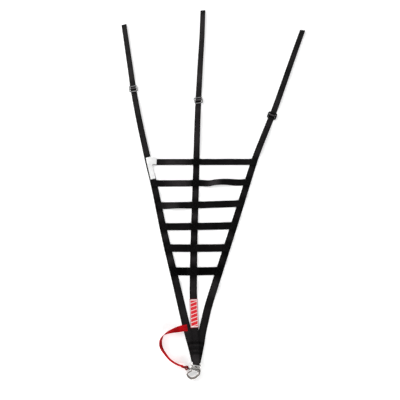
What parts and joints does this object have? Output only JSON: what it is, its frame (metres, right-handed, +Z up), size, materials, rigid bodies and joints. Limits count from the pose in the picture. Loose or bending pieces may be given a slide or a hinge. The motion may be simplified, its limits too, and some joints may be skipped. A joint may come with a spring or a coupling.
{
  "type": "driver window net of webbing ribbons with a snap shackle",
  "caption": "Triangular ribbon net of black webbing laid flat: uprights with slide adjusters and cross ribbons meet at a point with a snap shackle and a red pull strap.",
  "frame": {"origin": "on the surface the net lies on, under the middle of the whole footprint", "axes": "+Y from the snap shackle towards the free ends of the uprights, +X to the right seen from above, +Z up from the surface"},
  "size_m": [0.886, 1.5891, 0.0191],
  "materials": {
    "black_webbing": "woven webbing with a soft sheen",
    "red_webbing": "woven webbing with a soft sheen",
    "white_label": "plain matt label cloth",
    "striped_label": "woven label, red on white",
    "bright_steel": "satin to bright",
    "black_plastic": "moulded, satin"
  },
  "bodies": {
    "net": {"strap_left": "black_webbing", "strap_centre": "black_webbing", "strap_right": "black_webbing", "ribbon_1": "black_webbing", "ribbon_2": "black_webbing", "ribbon_3": "black_webbing", "ribbon_4": "black_webbing", "ribbon_5": "black_webbing", "ribbon_6": "black_webbing", "glide_left": "bright_steel", "glide_centre": "bright_steel", "glide_right": "black_plastic", "label_plain": "white_label", "label_striped": "striped_label", "pull_strap": "red_webbing", "shackle_bail": "bright_steel", "shackle_body": "bright_steel", "shackle_rivet": "bright_steel", "shackle_lock_pin": "bright_steel", "shackle_pull_ring": "bright_steel"},
    "jaw": {"shackle_jaw": "bright_steel"}
  },
  "joints": [
    {"name": "jaw_hinge", "type": "hinge", "parent": "net", "child": "jaw", "pos_m": [-0.0647, -0.7704, 0.0049], "axis": [0, 0, 1], "range_deg": [0, 105]}
  ]
}
